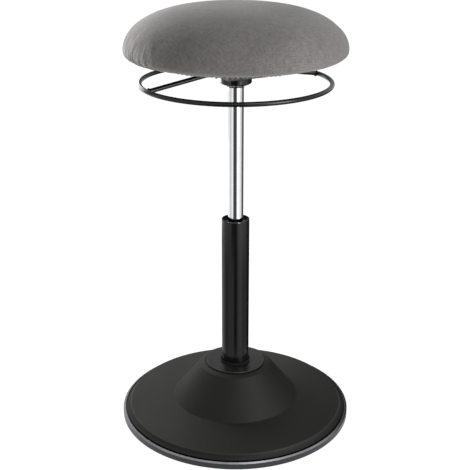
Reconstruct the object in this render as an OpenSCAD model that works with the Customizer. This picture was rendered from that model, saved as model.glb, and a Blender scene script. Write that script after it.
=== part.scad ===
// Round active stool on a weighted bell-shaped base, with a ring handle under the seat.
// Millimetres, +Z up, origin on the floor under the column, handle arms along X.

/* [Seat] */
// Height of the seat's crown over the floor
total_h = 764.8; // [750:0.1:790]
// Diameter of the seat at its widest line
seat_d = 380.8; // [350:0.2:410]
// Height of the crown over the widest line
crown_h = 70.2; // [55:0.5:85]
// Depth of the underside below the widest line
under_h = 20.1; // [18:0.1:26]
// Distance from the widest line in to the hem's edge
hem_inset = 43.4; // [36:0.2:52]
// Thickness of the fabric cover
cover_t = 1.2; // [0.8:0.1:1.6]
// Diameter of the elastic cord in the hem
hem_cord_d = 3; // [2:0.5:4]
// Distance from the widest line in to the pan's rim
pan_inset = 18.4; // [16:0.2:24]
// Thickness of the pan's floor
pan_t = 10; // [9:0.5:14]
// Width of the pan's raised rim
pan_rim_w = 4; // [3:0.5:6]
// Height of the pan's rim above its floor
pan_rim_h = 6; // [4:0.5:10]
// Rise of the pan's edge outside the hem
pan_flare = 5; // [4:0.5:7]
// Side of the square seat plate
plate_w = 150; // [140:1:180]
// Thickness of the seat plate
plate_t = 3; // [2.5:0.5:4]
// Corner radius of the seat plate
plate_corner_r = 12; // [6:1:20]
// Distance between the seat plate's bolts
bolt_pitch = 120; // [110:1:124]

/* [Ring handle] */
// Diameter of the ring, measured on the rod's centreline
ring_d = 329; // [300:1:350]
// Diameter of the rod of the ring and its arms
rod_d = 8; // [6:0.5:8]
// Depth of the ring below the seat plate
ring_drop = 38.7; // [36:0.1:42]
// Height that the arms climb from the ring to the rocker
arm_rise = 21.8; // [18:0.1:23]
// Distance of the left arm's inner end from the axis
arm_in_left = 28; // [26:0.5:32]
// Distance of the right arm's inner end from the axis
arm_in_right = 36; // [35:0.5:40]
// Distance of the pivot pin from the axis
pivot_x = 30; // [29:0.5:31]
// Depth of the pivot pin below the seat plate
pivot_drop = 16; // [15:0.5:17]
// Diameter of the pivot pin
pin_d = 6; // [5:0.5:6]
// Thickness of the rocker's sheet
rocker_t = 3; // [2.5:0.5:3.5]
// Gap between the seat plate and the rocker's top
rocker_gap = 5.5; // [5:0.5:7]
// Depth of the rocker's cheeks below its top
rocker_cheek_h = 15; // [13:0.5:15.5]
// Length of rod that the rocker's cheeks hold
rocker_grip = 18; // [12:1:22]

/* [Seat bracket and hub] */
// Outer width of the bracket
bracket_w = 50; // [44:1:60]
// Thickness of the bracket's sheet
bracket_t = 3; // [2.5:0.5:4]
// Height of the bracket below the seat plate
bracket_h = 30; // [28:0.5:34]
// Reach of the bracket past the axis on the pin's side
bracket_long = 44; // [40:1:50]
// Reach of the bracket past the axis on the other side
bracket_short = 27; // [24:1:30]
// Outer diameter of the taper socket
socket_d = 36; // [34:0.5:38]
// Height of the hub cover
hub_h = 15.8; // [15:0.1:20]
// Height of the hub cover's straight lip
hub_neck_h = 0.8; // [0.5:0.1:1.5]
// Height over which the hub cover flares out
hub_flare_h = 8; // [7.5:0.1:9]
// Diameter of the hub cover's cup
hub_cup_d = 55.4; // [54:0.2:58]
// Diameter of the hub cover's lip
hub_neck_d = 31.4; // [30.6:0.2:33]
// Wall of the hub cover's cup
hub_wall = 1.5; // [1.2:0.1:2]

/* [Gas lift] */
// Travel of the seat
stroke = 200; // [150:5:210]
// Outer diameter of the chrome tube
chrome_d = 28; // [27:0.5:29]
// Wall of the chrome tube
chrome_wall = 1.8; // [1.5:0.1:2]
// Diameter of the chrome tube at the top of its taper
taper_end_d = 26.8; // [26.4:0.1:27]
// Length of the taper
taper_len = 28; // [24:1:30]
// Length of chrome tube below the guide bush when the seat is up
tube_engage = 14; // [10:1:30]
// Outer diameter of the pressure tube
pressure_d = 22; // [21:0.5:22.5]
// Wall of the pressure tube
pressure_wall = 1; // [0.8:0.1:1.5]
// Length of the rod guide
rod_guide_len = 24; // [18:1:30]
// Diameter of the piston rod
piston_rod_d = 10; // [8:0.5:10]
// Length of the piston
piston_len = 10; // [8:1:14]
// Length of the valve block
valve_block_len = 28.5; // [27:0.5:32]
// Height that the valve pin stands out of the chrome tube
pin_out = 5.7; // [5.5:0.1:6]
// Diameter of the valve pin
valve_pin_d = 6; // [5:0.5:6]
// Diameter of the valve pin's collar
valve_collar_d = 10; // [9:0.5:11]
// Thickness of the valve pin's collar
valve_collar_t = 2; // [1.5:0.5:3]
// Diameter of the valve pin's lower stem
valve_stem_d = 4; // [3:0.5:4]
// Length of the valve spring
valve_spring_len = 9.4; // [8:0.2:10]

/* [Column] */
// Height of the standpipe's open top over the floor
column_top = 386.5; // [370:0.5:390]
// Outer diameter of the standpipe
column_d = 50; // [48:0.5:52]
// Wall of the standpipe
column_wall = 2; // [1.5:0.1:2.5]
// Length of the guide bush
bush_len = 70.5; // [60:0.5:80]
// Depth of the guide bush below the standpipe's rim
bush_recess = 6; // [4:0.5:9]
// Width of the funnel at the guide bush's mouth
bush_funnel = 3; // [2:0.5:4]
// Thickness of the tube floor
tube_floor_t = 4; // [3:0.5:6]
// Height of the tube floor above the standpipe's foot
tube_floor_lift = 4; // [3.5:0.5:6]
// Diameter of the piston rod's neck
rod_neck_d = 8; // [7:0.5:8]
// Outer diameter of the thrust washers
washer_d = 26; // [24:1:30]
// Thickness of a thrust washer
washer_t = 1.5; // [1:0.1:2]
// Diameter of a bearing ball
bearing_ball_d = 4; // [3.5:0.5:4]
// Number of bearing balls
bearing_balls_n = 12; // [8:1:13]
// Diameter of the bearing's ball circle
bearing_pcd = 19; // [18:0.5:20]
// Thickness of the rod clip
clip_t = 1.2; // [1:0.1:1.5]
// Diameter of the rod clip
clip_d = 16; // [14:0.5:18]
// Outer diameter of the rubber bumper
bumper_d = 24; // [20:1:26]

/* [Base] */
// Diameter of the foot
foot_d = 428.8; // [400:0.2:460]
// Height of the foot ring
foot_h = 10.6; // [9:0.1:12]
// Width of the foot ring where it stands on the floor
foot_w = 18.4; // [14:0.2:24]
// Radius on the foot ring's lower edge
foot_edge = 1; // [0.5:0.1:1.5]
// Gap between the floor and the ballast plate
plate_lift = 3; // [2:0.1:3.6]
// Height of the trim ring
trim_h = 2; // [1.8:0.1:3]
// Width of the trim ring's slope
trim_slope_w = 3; // [2:0.2:4]
// Width of the trim ring's crest
trim_crest_w = 0.6; // [0.4:0.1:1]
// Width of the groove between the trim ring's crest and the cover
trim_groove_w = 3; // [1.5:0.1:3.4]
// Depth of that groove
trim_groove_h = 1.6; // [1:0.1:1.7]
// Width of the trim ring
trim_w = 9.1; // [8.6:0.1:12]
// Distance from the foot's rim in to the cover's rim
cover_inset = 7.6; // [7:0.2:8]
// Height of the cover's rounded side
side_h = 9.4; // [7:0.2:12]
// Width of the cover's rounded side
side_w = 7.6; // [5:0.2:10]
// Rise of the cover's skirt up to the bell
skirt_h = 10.8; // [8:0.2:14]
// Diameter of the bell at its foot
bell_foot_d = 233.6; // [220:0.2:250]
// Height of the bell
bell_h = 67.1; // [66:0.1:72]
// Diameter of the bell's top corner before rounding
bell_top_d = 127.4; // [124:0.2:134]
// Diameter of the flat on the bell's top
bell_flat_d = 117; // [112:0.5:120]
// Depth of the bell's ridge below its top
ridge_drop = 2.9; // [2:0.1:4]
// Radius on the bell's ridge
ridge_edge = 2.5; // [1.5:0.5:3]
// Radius where the bell meets the skirt
bell_foot_edge = 4; // [2:0.5:6]
// Height of the upright edge at the cover's foot
cover_edge_h = 1; // [0.6:0.1:2]
// How near the corner the hollow of the cover's side reaches, as a share
side_pull = 0.38; // [0.15:0.05:0.45]
// Radius on the rim of the skirt
skirt_edge = 1.2; // [0.8:0.1:2]
// Diameter of the bell's mouth
mouth_d = 74; // [73:0.5:76]
// Wall of the cover
cover_wall = 3; // [2.5:0.1:3.5]
// Number of screws that hold the cover
cover_screws_n = 6; // [4:1:8]
// Distance from the foot's rim in to the circle of the cover's screws
cover_screw_inset = 44.4; // [36:0.2:60]
// Diameter of a cover screw's shank
cover_screw_d = 4; // [3:0.5:4.5]
// Diameter of a cover screw's head
cover_head_d = 8; // [7:0.5:9]
// Diameter of a screw boss inside the cover
cover_boss_d = 12; // [10:0.5:14]

/* [Loose disc] */
// Diameter of the loose disc
disc_d = 108.4; // [108.2:0.2:114]
// Thickness of the loose disc
disc_t = 2.7; // [2.5:0.1:3.5]
// Thickness of the disc's web above the slip ring
disc_web_t = 1.8; // [1.4:0.1:2]
// Width of the disc's rim
disc_rim_w = 1.8; // [1.6:0.1:1.9]
// Width of the step under the disc's edge
disc_step_w = 1.2; // [0.6:0.1:1.2]
// Height of the step under the disc's edge
disc_step_h = 1.2; // [0.8:0.1:1.6]
// Height of the collar round the standpipe above the disc
collar_h = 4.4; // [3:0.1:5]
// Wall of that collar
collar_wall = 1.2; // [1:0.1:2]
// Inner diameter of the slip ring
slip_in_d = 76; // [74:1:78]
// Width of the slip ring
slip_w = 6.6; // [6.4:0.1:6.8]
// Thickness of the slip ring
slip_t = 0.8; // [0.6:0.1:0.8]

/* [Swing joint] */
// Height of the swing's centre over the floor
swing_z = 28; // [27.5:0.1:29]
// Diameter of the pivot ball
ball_d = 24; // [22:0.5:25]
// Diameter of the lower ball seat's post
seat_post_d = 40; // [36:1:40]
// Diameter of the lower ball seat's flange
seat_flange_d = 60; // [56:1:62]
// Thickness of the lower ball seat's flange
seat_flange_t = 4.4; // [3:0.2:5]
// Depth of the lower ball seat's rim below the swing's centre
seat_rim_drop = 2; // [1.8:0.1:3]
// Number of buffers, and of bolts in the lower ball seat
buffers_n = 4; // [4:1:4]
// Diameter of the circle of the buffers
buffer_pcd = 88; // [86:1:90]
// Diameter of a buffer
buffer_d = 22; // [18:1:22]
// Thickness of a buffer's steel end
buffer_end_t = 2; // [1.5:0.5:2.5]
// Diameter of a buffer's stud
buffer_stud_d = 8; // [6:1:8]
// Length of a buffer's stud
buffer_stud_len = 14; // [13:1:16]
// Diameter of the swing plate
swing_plate_d = 128; // [126:1:130]
// Thickness of the swing plate
swing_plate_t = 6; // [5:0.5:8]
// Height of the swing plate's underside above the swing's centre
swing_plate_lift = 7; // [6.5:0.1:8]
// Depth of the upper ball seat below the swing plate
boss_h = 4; // [3:0.2:4]
// Outer diameter of the column socket
column_socket_d = 60; // [58:0.5:62]
// Height of the column socket
column_socket_h = 47; // [40:0.5:48]
// Reach of a gusset past the socket
gusset_w = 18; // [14:1:20]
// Height of a gusset
gusset_h = 26; // [20:1:32]
// Thickness of a gusset
gusset_t = 4; // [3:0.5:5]
// Inner diameter of the stop ring
stop_in_d = 114; // [112:1:115]
// Width of the stop ring
stop_w = 9; // [7:0.5:12]
// Height of the stop ring above the ballast plate
stop_h = 13.2; // [11:0.2:13.2]

/* [Small fasteners and fits] */
// Across the corners of a hexagon for an M8 bolt or nut
hex8_d = 15; // [14:0.1:15.4]
// Height of a hexagon for an M8 bolt or nut
hex8_h = 5.5; // [5:0.1:6.8]
// Diameter of an M8 shank
m8_d = 8; // [8:1:8]
// Diameter of a tee nut's flange
tee_flange_d = 18; // [16:1:20]
// Thickness of a tee nut's flange
tee_flange_t = 1.5; // [1:0.1:2]
// Wall of a tee nut's barrel
tee_wall = 1; // [0.8:0.1:1.5]
// Diameter of an M5 shank
m5_d = 5; // [4.5:0.5:5.5]
// Diameter of an M5 head
m5_head_d = 8.5; // [8:0.1:9]
// Height of an M5 head
m5_head_h = 4; // [3:0.1:5]
// Depth that an M5 bolt goes into the ballast plate
m5_depth = 7; // [5:0.5:8]
// Radial clearance of a running fit
run_fit = 0.05; // [0.03:0.01:0.08]
// Radial clearance of a bolt in its hole
bolt_fit = 0.3; // [0.2:0.05:0.4]
// Gap between soft pieces and what they lie on
soft_gap = 0.2; // [0.1:0.05:0.3]
// Play between the valve pin and the rocker
touch_gap = 0.3; // [0.2:0.05:0.4]
// Play between the standpipe and the loose disc
disc_fit = 1; // [0.9:0.05:1.2]

/* [Hidden] */

$fn = 96;
// Overrun of every cut past the face it leaves by
over = 1;
// Colours
black = [0.09, 0.09, 0.10];
dark_rubber = [0.17, 0.17, 0.19];
steel = [0.62, 0.63, 0.65];
chrome = [0.86, 0.87, 0.89];
zinc = [0.72, 0.72, 0.68];
fabric_grey = [0.52, 0.50, 0.49];
foam_cream = [0.86, 0.82, 0.68];
nylon = [0.88, 0.88, 0.84];

// Heights down from the crown
seat_r = seat_d / 2;
seat_mid_z = total_h - crown_h;
hem_r = seat_r - hem_inset;
hem_z = seat_mid_z - under_h;
pan_r = seat_r - pan_inset;
pan_play = 0.3;
pan_z = hem_z + cover_t + pan_play;
pan_top_z = pan_z + pan_t;
plate_z = pan_z - plate_t;
rocker_top_z = plate_z - rocker_gap;
rocker_under_z = rocker_top_z - rocker_t;
valve_pin_z = rocker_under_z - touch_gap;
tube_end_z = valve_pin_z - pin_out;
taper_z = tube_end_z - taper_len;
socket_drop = 3.5;
socket_top_z = tube_end_z - socket_drop;
web_z = plate_z - bracket_h;
hub_z = web_z - hub_h;
cup_z = hub_z + hub_neck_h;
ring_z = plate_z - ring_drop;
pivot_z = plate_z - pivot_drop;

// Heights up from the floor
plate_top_z = foot_h + trim_h;
foot_r = foot_d / 2;
foot_edge_gap = 0.4;
ballast_r = foot_r - foot_edge_gap - trim_w;
cover_r = foot_r - cover_inset;
screw_r = foot_r - cover_screw_inset;
side_top_r = cover_r - side_w;
side_top_z = plate_top_z + side_h;
bell_foot_r = bell_foot_d / 2;
bell_foot_z = side_top_z + skirt_h;
bell_top_z = bell_foot_z + bell_h;
disc_gap = 0.2;
disc_z = bell_top_z + disc_gap;
swing_plate_z = swing_z + swing_plate_lift;
column_foot_z = swing_plate_z + swing_plate_t;
buffer_h = swing_plate_z - plate_top_z;

// Column and gas lift
column_r = column_d / 2;
column_in_r = column_r - column_wall;
bush_top_z = column_top - bush_recess;
bush_z = bush_top_z - bush_len;
chrome_r = chrome_d / 2;
chrome_in_r = chrome_r - chrome_wall;
chrome_z = bush_z - tube_engage;
tube_floor_z = column_foot_z + tube_floor_lift;
bearing_z = tube_floor_z + tube_floor_t;
balls_z = bearing_z + washer_t + run_fit;
upper_washer_z = balls_z + bearing_ball_d;
shoulder_z = upper_washer_z + washer_t;
stop_play = 1;
bumper_h = chrome_z - stroke - stop_play - shoulder_z;
rod_guide_top_z = chrome_z + rod_guide_len;
piston_z = rod_guide_top_z + touch_gap;
piston_top_z = piston_z + piston_len;
valve_block_z = tube_end_z - valve_block_len;
valve_stem_hole = 10;
valve_pocket_z = valve_block_z + valve_stem_hole;
valve_collar_z = valve_pocket_z + valve_spring_len + 2 * touch_gap;
valve_pocket_top_z = valve_collar_z + valve_collar_t + stop_play;

// Superellipse powers of the seat's crown and underside
crown_out_power = 3.11;
crown_up_power = 1.82;
under_in_power = 1.3;
under_down_power = 3;
crown_steps = 12;
under_steps = 6;

// Outer half outline of the seat, a given depth inside the fabric's outer face
function under_points(depth) = [
    for (i = [0:under_steps - 1]) let(a = 90 * (1 - i / under_steps))
        [hem_r + (seat_r - depth - hem_r) * pow(cos(a), 2 / under_in_power),
         seat_mid_z - (under_h - depth) * pow(sin(a), 2 / under_down_power)]
];
function crown_points(depth) = [
    for (i = [0:crown_steps]) let(a = 90 * i / crown_steps)
        [(seat_r - depth) * pow(cos(a), 2 / crown_out_power),
         seat_mid_z + (crown_h - depth) * pow(sin(a), 2 / crown_up_power)]
];
function seat_points(depth) = concat(under_points(depth), crown_points(depth));
function reversed(pts) = [for (i = [len(pts) - 1:-1:0]) pts[i]];

// Height of the seat's underside at a radius, a given depth inside the fabric's outer face
function under_z(r, depth) =
    seat_mid_z - (under_h - depth)
    * pow(1 - pow((r - hem_r) / (seat_r - depth - hem_r), under_in_power), 1 / under_down_power);

// Line a given wall to the left of an open outline, with mitred corners
function unit(v) = v / norm(v);
function left_of(v) = [-v.y, v.x];
function inset_line(pts, wall) = [
    for (i = [0:len(pts) - 1])
        let(before = unit(pts[max(i, 1)] - pts[max(i, 1) - 1]),
            after = unit(pts[min(i + 1, len(pts) - 1)] - pts[min(i + 1, len(pts) - 1) - 1]),
            n1 = left_of(before), n2 = left_of(after))
        pts[i] + wall * (n1 + n2) / (1 + n1 * n2)
];
function bezier(p, n) = [
    for (i = [0:n]) let(t = i / n, u = 1 - t)
        u * u * u * p[0] + 3 * u * u * t * p[1] + 3 * u * t * t * p[2] + t * t * t * p[3]
];

module ring_solid(r_in, r_out, z, h) {
    rotate_extrude() translate([r_in, z]) square([r_out - r_in, h]);
}

module around(n, pcd, turn = 0) {
    for (i = [0:n - 1]) rotate(turn + i * 360 / n) translate([pcd / 2, 0, 0]) children();
}

module square_pattern(pitch) {
    for (sx = [-1, 1], sy = [-1, 1]) translate([sx * pitch / 2, sy * pitch / 2, 0]) children();
}

// Base

module foot_ring() {
    ledge_r = foot_r - foot_w;
    color(dark_rubber) rotate_extrude() polygon([
        [ledge_r, 0], [foot_r - foot_edge, 0], [foot_r, foot_edge], [foot_r, foot_h],
        [ballast_r + run_fit, foot_h], [ballast_r + run_fit, plate_lift], [ledge_r, plate_lift]
    ]);
}

module trim_ring() {
    outer_r = foot_r - foot_edge_gap;
    crest_r = outer_r - trim_slope_w;
    groove_r = crest_r - trim_crest_w;
    color(steel) rotate_extrude() polygon([
        [ballast_r + run_fit, foot_h], [outer_r, foot_h], [crest_r, plate_top_z],
        [groove_r, plate_top_z], [groove_r, plate_top_z - trim_groove_h],
        [groove_r - trim_groove_w, plate_top_z - trim_groove_h],
        [groove_r - trim_groove_w, plate_top_z], [ballast_r + run_fit, plate_top_z]
    ]);
}

cover_counterbore = 5.4;
module base_plate() {
    color(black) difference() {
        translate([0, 0, plate_lift]) cylinder(h = plate_top_z - plate_lift, r = ballast_r);
        around(cover_screws_n, 2 * screw_r) {
            translate([0, 0, plate_lift - over])
                cylinder(h = cover_counterbore + over, d = cover_head_d + 2 * bolt_fit);
            translate([0, 0, plate_lift]) cylinder(h = plate_top_z, d = cover_screw_d + 2 * bolt_fit);
        }
        around(buffers_n, ball_seat_pcd) translate([0, 0, plate_top_z - m5_depth])
            cylinder(h = m5_depth + over, d = m5_d);
        around(buffers_n, buffer_pcd, 45) translate([0, 0, plate_top_z - m5_depth])
            cylinder(h = m5_depth + over, d = buffer_stud_d);
    }
}

skirt_side_steps = 6;
corner_arc_steps = 4;
bell_top_r = bell_top_d / 2;
ridge = [bell_top_r + ridge_drop * (bell_foot_r - bell_top_r) / bell_h, bell_top_z - ridge_drop];
bell_foot = [bell_foot_r, bell_foot_z];
bell_flat = [bell_flat_d / 2, bell_top_z];

// Arc of radius r in the corner b of the line a, b, c
function corner_arc(a, b, c, r, n) =
    let(u = unit(a - b), w = unit(c - b), half = acos(u * w) / 2,
        centre = b + unit(u + w) * r / sin(half), start = b + u * r / tan(half) - centre,
        first = atan2(start.y, start.x), sweep = (u.x * w.y > u.y * w.x ? -1 : 1) * (180 - 2 * half))
    [for (i = [0:n]) centre + r * [cos(first + sweep * i / n), sin(first + sweep * i / n)]];
cover_foot_r = side_top_r + side_w;
cover_edge_z = plate_top_z + cover_edge_h;
side_turn = [side_top_r + side_pull * side_w, cover_edge_z + side_pull * (side_top_z - cover_edge_z)];
skirt_rim = [side_top_r, side_top_z];
bell_mouth = [mouth_d / 2, bell_top_z];
cover_side = bezier([[cover_foot_r, cover_edge_z], side_turn, side_turn, skirt_rim], skirt_side_steps);
cover_outline = concat(
    [[cover_foot_r, plate_top_z]],
    [for (i = [0:skirt_side_steps - 1]) cover_side[i]],
    corner_arc(side_turn, skirt_rim, bell_foot, skirt_edge, corner_arc_steps),
    corner_arc(skirt_rim, bell_foot, ridge, bell_foot_edge, corner_arc_steps),
    corner_arc(bell_foot, ridge, bell_flat, ridge_edge, corner_arc_steps),
    [bell_flat, bell_mouth]
);
cover_inner = inset_line([[side_top_r, plate_top_z], skirt_rim, bell_foot, ridge, bell_flat, bell_mouth],
    cover_wall);
skirt_slope = skirt_h / (side_top_r - bell_foot_r);
boss_top_z = side_top_z + skirt_slope * (side_top_r - screw_r - cover_boss_d / 2) - cover_wall / 2;
cover_screw_len = 10;
module base_cover() {
    color(black) difference() {
        union() {
            rotate_extrude() polygon(concat(cover_outline, reversed(cover_inner)));
            around(cover_screws_n, 2 * screw_r) translate([0, 0, plate_top_z])
                cylinder(h = boss_top_z - plate_top_z, d = cover_boss_d);
        }
        around(cover_screws_n, 2 * screw_r) translate([0, 0, plate_top_z - over])
            cylinder(h = cover_screw_hole + over, d = cover_screw_d + 2 * run_fit);
    }
}

cover_screw_hole = 8;
module cover_screws() {
    head_z = plate_lift + cover_counterbore - cover_head_h;
    color(zinc) around(cover_screws_n, 2 * screw_r) {
        translate([0, 0, head_z]) cylinder(h = cover_head_h, d = cover_head_d);
        translate([0, 0, head_z])
            cylinder(h = plate_top_z + cover_screw_hole - stop_play - head_z, d = cover_screw_d);
    }
}
cover_head_h = 3;

// Swing joint

ball_r = ball_d / 2;
ball_seat_r = ball_r + run_fit;
ball_seat_pcd = 50;
module ball_seat() {
    color(steel) difference() {
        union() {
            translate([0, 0, plate_top_z]) cylinder(h = seat_flange_t, d = seat_flange_d);
            translate([0, 0, plate_top_z])
                cylinder(h = swing_z - seat_rim_drop - plate_top_z, d = seat_post_d);
        }
        translate([0, 0, swing_z]) sphere(r = ball_seat_r);
        around(buffers_n, ball_seat_pcd) translate([0, 0, plate_top_z - over])
            cylinder(h = seat_flange_t + 2 * over, d = m5_d + 2 * bolt_fit);
    }
}

module ball_seat_bolts() {
    color(zinc) around(buffers_n, ball_seat_pcd) {
        translate([0, 0, plate_top_z - m5_depth]) cylinder(h = m5_depth + seat_flange_t, d = m5_d);
        translate([0, 0, plate_top_z + seat_flange_t]) cylinder(h = m5_head_h, d = m5_head_d);
    }
}

module stop_ring() {
    color(dark_rubber) ring_solid(stop_in_d / 2, stop_in_d / 2 + stop_w, plate_top_z, stop_h);
}

module buffer_feet() {
    color(zinc) around(buffers_n, buffer_pcd, 45) {
        translate([0, 0, plate_top_z]) cylinder(h = buffer_end_t, d = buffer_d);
        translate([0, 0, plate_top_z - m5_depth]) cylinder(h = m5_depth + buffer_end_t, d = buffer_stud_d);
    }
}

module swing_buffers() {
    color(dark_rubber) around(buffers_n, buffer_pcd, 45) translate([0, 0, plate_top_z + buffer_end_t])
        cylinder(h = buffer_h - 2 * buffer_end_t, d = buffer_d);
}

module buffer_caps() {
    color(zinc) around(buffers_n, buffer_pcd, 45) {
        translate([0, 0, swing_plate_z - buffer_end_t]) cylinder(h = buffer_end_t, d = buffer_d);
        translate([0, 0, swing_plate_z - buffer_end_t])
            cylinder(h = buffer_end_t + buffer_stud_len, d = buffer_stud_d);
    }
}

module buffer_nuts() {
    color(zinc) around(buffers_n, buffer_pcd, 45) translate([0, 0, column_foot_z]) difference() {
        cylinder(h = hex8_h, d = hex8_d, $fn = 6);
        translate([0, 0, -over]) cylinder(h = hex8_h + 2 * over, d = buffer_stud_d + 2 * run_fit);
    }
}

module pivot_ball() {
    color(chrome) translate([0, 0, swing_z]) sphere(r = ball_r);
}

module swing_plate() {
    color(black) difference() {
        union() {
            translate([0, 0, swing_plate_z]) cylinder(h = swing_plate_t, d = swing_plate_d);
            translate([0, 0, swing_plate_z - boss_h]) cylinder(h = boss_h, d = seat_post_d);
        }
        translate([0, 0, swing_z]) sphere(r = ball_seat_r);
        around(buffers_n, buffer_pcd, 45) translate([0, 0, swing_plate_z - over])
            cylinder(h = swing_plate_t + 2 * over, d = buffer_stud_d + 2 * bolt_fit);
    }
}

module column_socket() {
    socket_r = column_socket_d / 2;
    gusset_nose = 4;
    color(black) {
        difference() {
            union() {
                translate([0, 0, column_foot_z]) cylinder(h = column_socket_h, r = socket_r);
                for (i = [0:buffers_n - 1]) rotate([90, 0, i * 360 / buffers_n])
                    translate([0, column_foot_z, -gusset_t / 2]) linear_extrude(gusset_t) polygon([
                        [column_r + column_wall, 0], [socket_r + gusset_w, 0],
                        [socket_r + gusset_w, gusset_nose], [socket_r, gusset_h], [column_r + column_wall, gusset_h]
                    ]);
            }
            translate([0, 0, column_foot_z - over])
                cylinder(h = column_socket_h + 2 * over, r = column_r + run_fit);
        }
    }
}

// Loose disc on the bell's mouth

module slip_ring() {
    color(nylon) ring_solid(slip_in_d / 2, slip_in_d / 2 + slip_w, bell_top_z + run_fit, slip_t);
}

module cover_disc() {
    hole_r = column_r + disc_fit;
    disc_r = disc_d / 2;
    web_z0 = disc_z + disc_t - disc_web_t;
    edge = 0.4;
    color(black) rotate_extrude() polygon([
        [hole_r, web_z0], [disc_r - disc_rim_w, web_z0], [disc_r - disc_rim_w, disc_z],
        [disc_r - disc_step_w, disc_z], [disc_r - disc_step_w, disc_z + disc_step_h],
        [disc_r, disc_z + disc_step_h],
        [disc_r, disc_z + disc_t - edge], [disc_r - edge, disc_z + disc_t],
        [hole_r + collar_wall, disc_z + disc_t], [hole_r + collar_wall, disc_z + disc_t + collar_h - edge],
        [hole_r + collar_wall - edge, disc_z + disc_t + collar_h], [hole_r, disc_z + disc_t + collar_h]
    ]);
}

// Column

module standpipe() {
    color(black) ring_solid(column_in_r, column_r, column_foot_z, column_top - column_foot_z);
}

module guide_bush() {
    bush_r = column_in_r - run_fit;
    bore_r = chrome_r + run_fit;
    color(black) rotate_extrude() polygon([
        [bore_r, bush_z], [bush_r, bush_z], [bush_r, bush_top_z],
        [bore_r + bush_funnel, bush_top_z], [bore_r, bush_top_z - bush_funnel]
    ]);
}

module tube_floor() {
    color(steel) ring_solid(rod_neck_d / 2 + run_fit, column_in_r - run_fit, tube_floor_z, tube_floor_t);
}

washer_hole_r = rod_neck_d / 2 + run_fit;
module lower_washer() {
    color(steel) ring_solid(washer_hole_r, washer_d / 2, bearing_z, washer_t);
}

module upper_washer() {
    color(steel) ring_solid(washer_hole_r, washer_d / 2, upper_washer_z, washer_t);
}

module bearing_balls() {
    color(chrome) around(bearing_balls_n, bearing_pcd)
        translate([0, 0, balls_z + bearing_ball_d / 2]) sphere(d = bearing_ball_d, $fn = 32);
}

neck_tail = 1.2;
clip_z = tube_floor_z - run_fit - clip_t;
module rod_clip() {
    color(steel) ring_solid(washer_hole_r, clip_d / 2, clip_z, clip_t);
}

module bumper() {
    color(dark_rubber) ring_solid(piston_rod_d / 2 + soft_gap, bumper_d / 2, shoulder_z, bumper_h);
}

// Gas lift

module piston_rod() {
    color(chrome) {
        translate([0, 0, clip_z - neck_tail])
            cylinder(h = shoulder_z - clip_z + neck_tail, d = rod_neck_d);
        translate([0, 0, shoulder_z]) cylinder(h = piston_top_z - shoulder_z, d = piston_rod_d);
    }
}

module piston() {
    color(dark_rubber) ring_solid(piston_rod_d / 2, pressure_d / 2 - pressure_wall - run_fit, piston_z, piston_len);
}

module rod_guide() {
    color(nylon) ring_solid(piston_rod_d / 2 + run_fit, chrome_in_r - run_fit, chrome_z, rod_guide_len);
}

module pressure_tube() {
    color(steel) ring_solid(pressure_d / 2 - pressure_wall, pressure_d / 2, rod_guide_top_z,
                            valve_block_z - rod_guide_top_z);
}

module chrome_tube() {
    edge = 0.5;
    color(chrome) rotate_extrude() polygon([
        [chrome_in_r, chrome_z], [chrome_r - edge, chrome_z], [chrome_r, chrome_z + edge],
        [chrome_r, taper_z], [taper_end_d / 2, tube_end_z], [chrome_in_r, tube_end_z]
    ]);
}

valve_stem_r = valve_stem_d / 2;
valve_pin_r = valve_pin_d / 2;
valve_collar_r = valve_collar_d / 2;
module valve_block() {
    pocket_r = valve_collar_r + 2 * touch_gap;
    block_r = chrome_in_r - run_fit;
    color(steel) rotate_extrude() polygon([
        [valve_stem_r + run_fit, valve_block_z], [block_r, valve_block_z], [block_r, tube_end_z],
        [valve_pin_r + run_fit, tube_end_z], [valve_pin_r + run_fit, valve_pocket_top_z],
        [pocket_r, valve_pocket_top_z], [pocket_r, valve_pocket_z],
        [valve_stem_r + run_fit, valve_pocket_z]
    ]);
}

module valve_spring() {
    color(steel) ring_solid(valve_pin_r + touch_gap, valve_collar_r - touch_gap,
                            valve_pocket_z + touch_gap, valve_spring_len);
}

module valve_pin() {
    stem_z = valve_block_z + valve_stem_hole / 2;
    color(steel) {
        translate([0, 0, stem_z]) cylinder(h = valve_collar_z - stem_z, r = valve_stem_r);
        translate([0, 0, valve_collar_z]) cylinder(h = valve_collar_t, r = valve_collar_r);
        translate([0, 0, valve_collar_z]) cylinder(h = valve_pin_z - valve_pin_r - valve_collar_z, r = valve_pin_r);
        translate([0, 0, valve_pin_z - valve_pin_r]) sphere(r = valve_pin_r);
    }
}

// Hub and bracket under the seat

function taper_r(z) = chrome_r - (chrome_r - taper_end_d / 2) * (z - taper_z) / taper_len;

socket_foot = 0.2;
hub_floor = 3.7;
socket_z = cup_z + hub_floor + socket_foot;
module taper_socket() {
    color(black) rotate_extrude() polygon([
        [taper_r(socket_z) + run_fit, socket_z], [socket_d / 2, socket_z],
        [socket_d / 2, socket_top_z], [taper_r(socket_top_z) + run_fit, socket_top_z]
    ]);
}

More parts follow.
